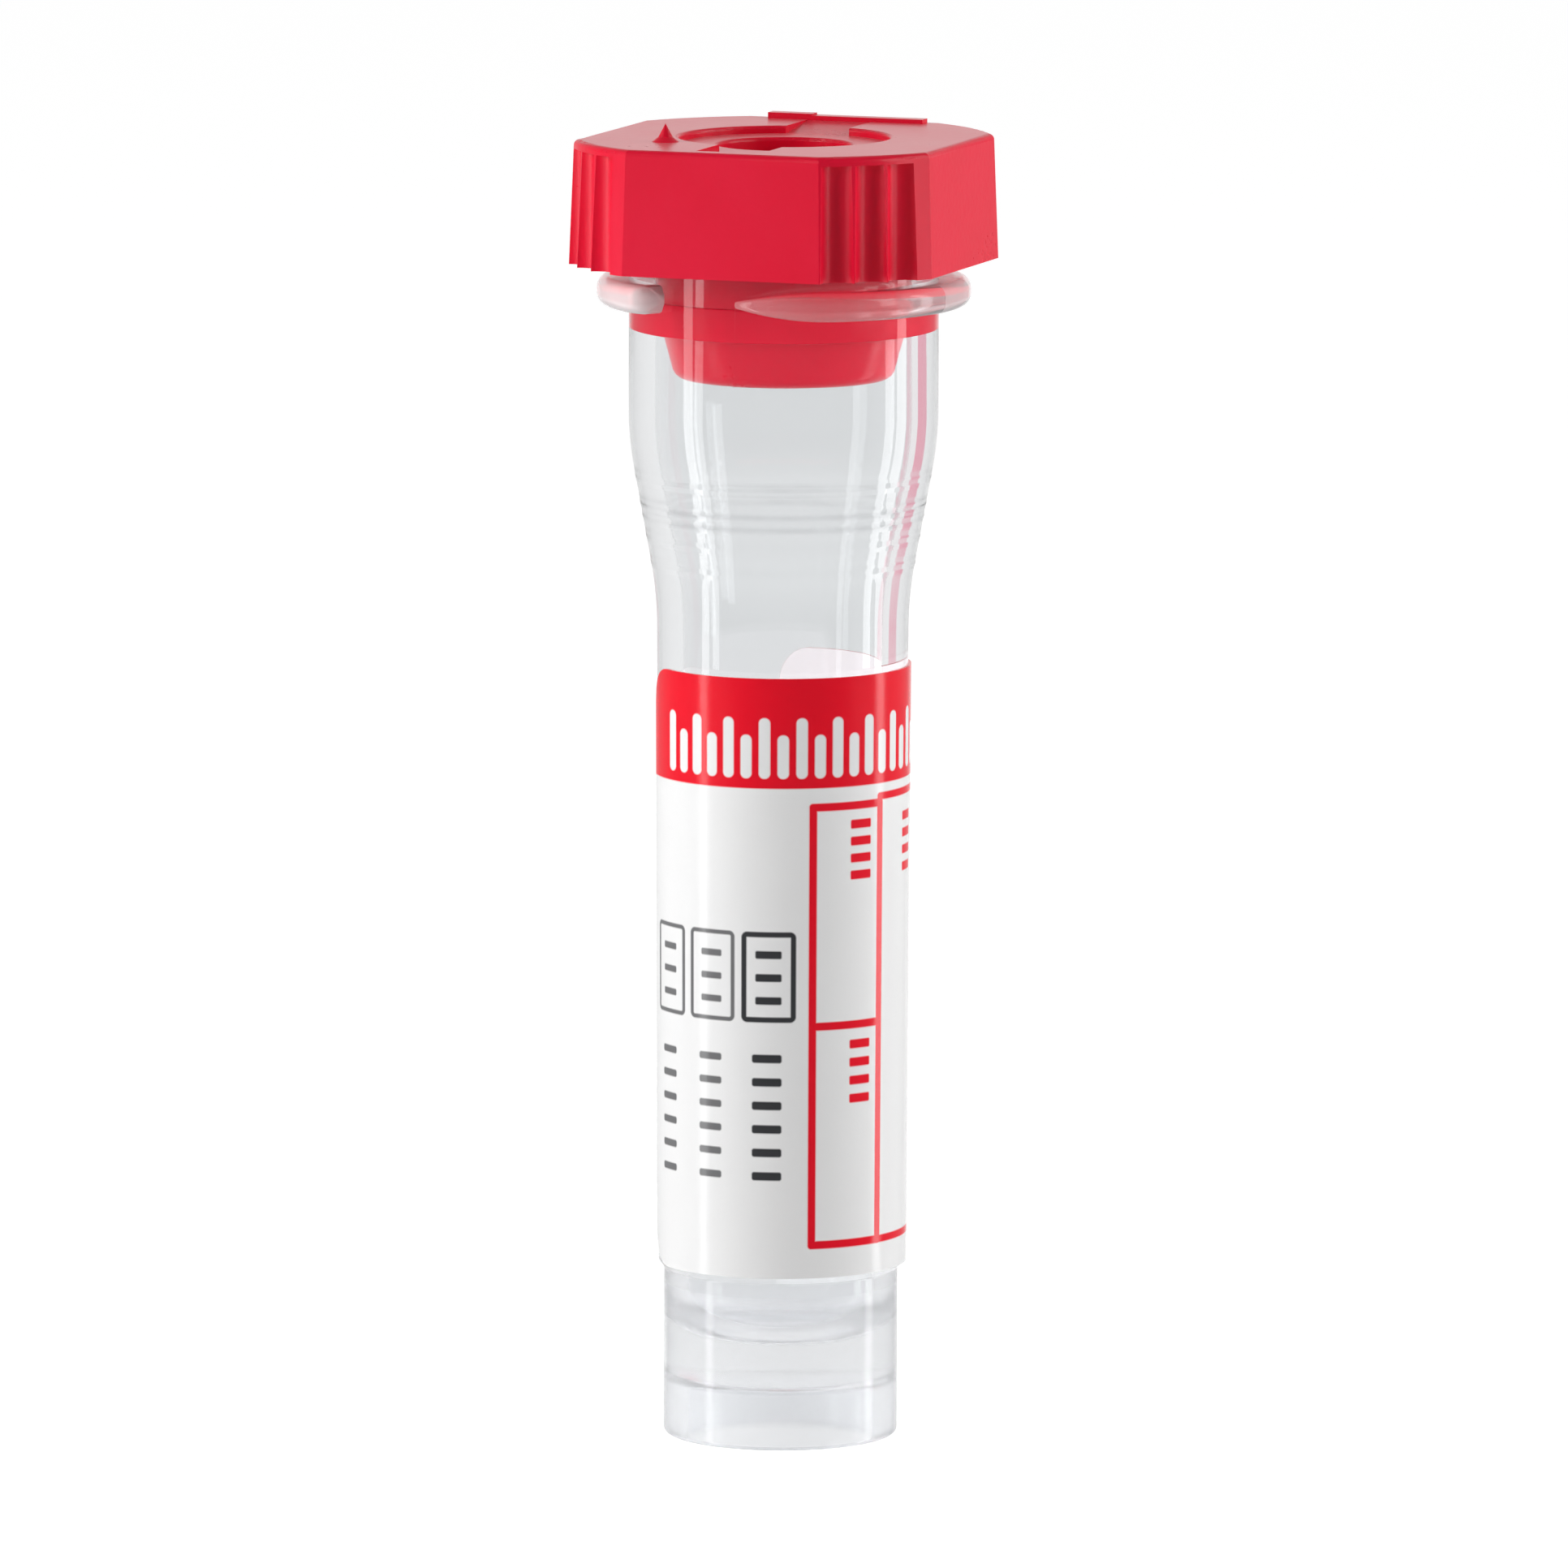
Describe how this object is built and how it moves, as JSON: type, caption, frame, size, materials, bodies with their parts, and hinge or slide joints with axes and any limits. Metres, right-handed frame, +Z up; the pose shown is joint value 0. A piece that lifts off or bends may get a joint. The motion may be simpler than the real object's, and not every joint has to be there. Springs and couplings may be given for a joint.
{
  "type": "blood collection tube",
  "caption": "Small clear capillary blood tube with a flared neck, hollow foot, lugged collar, fluted red pierceable cap and a wrap-round label.",
  "frame": {"origin": "centre of the foot, on the surface that the tube stands on", "axes": "+Z up the tube to the cap, -Y towards the front of the label"},
  "size_m": [0.014, 0.014, 0.0436],
  "materials": {
    "clear_plastic": "clear, polished moulding",
    "red_plastic": "satin moulding",
    "label_film": "matt film, printed"
  },
  "bodies": {
    "body": {"tube": "clear_plastic", "label": "label_film"},
    "closure": {"cap": "red_plastic"}
  },
  "joints": [
    {"name": "cap_lift", "type": "slide", "parent": "body", "child": "closure", "axis": [0, 0, 1], "range_m": [0, 0.012]}
  ]
}
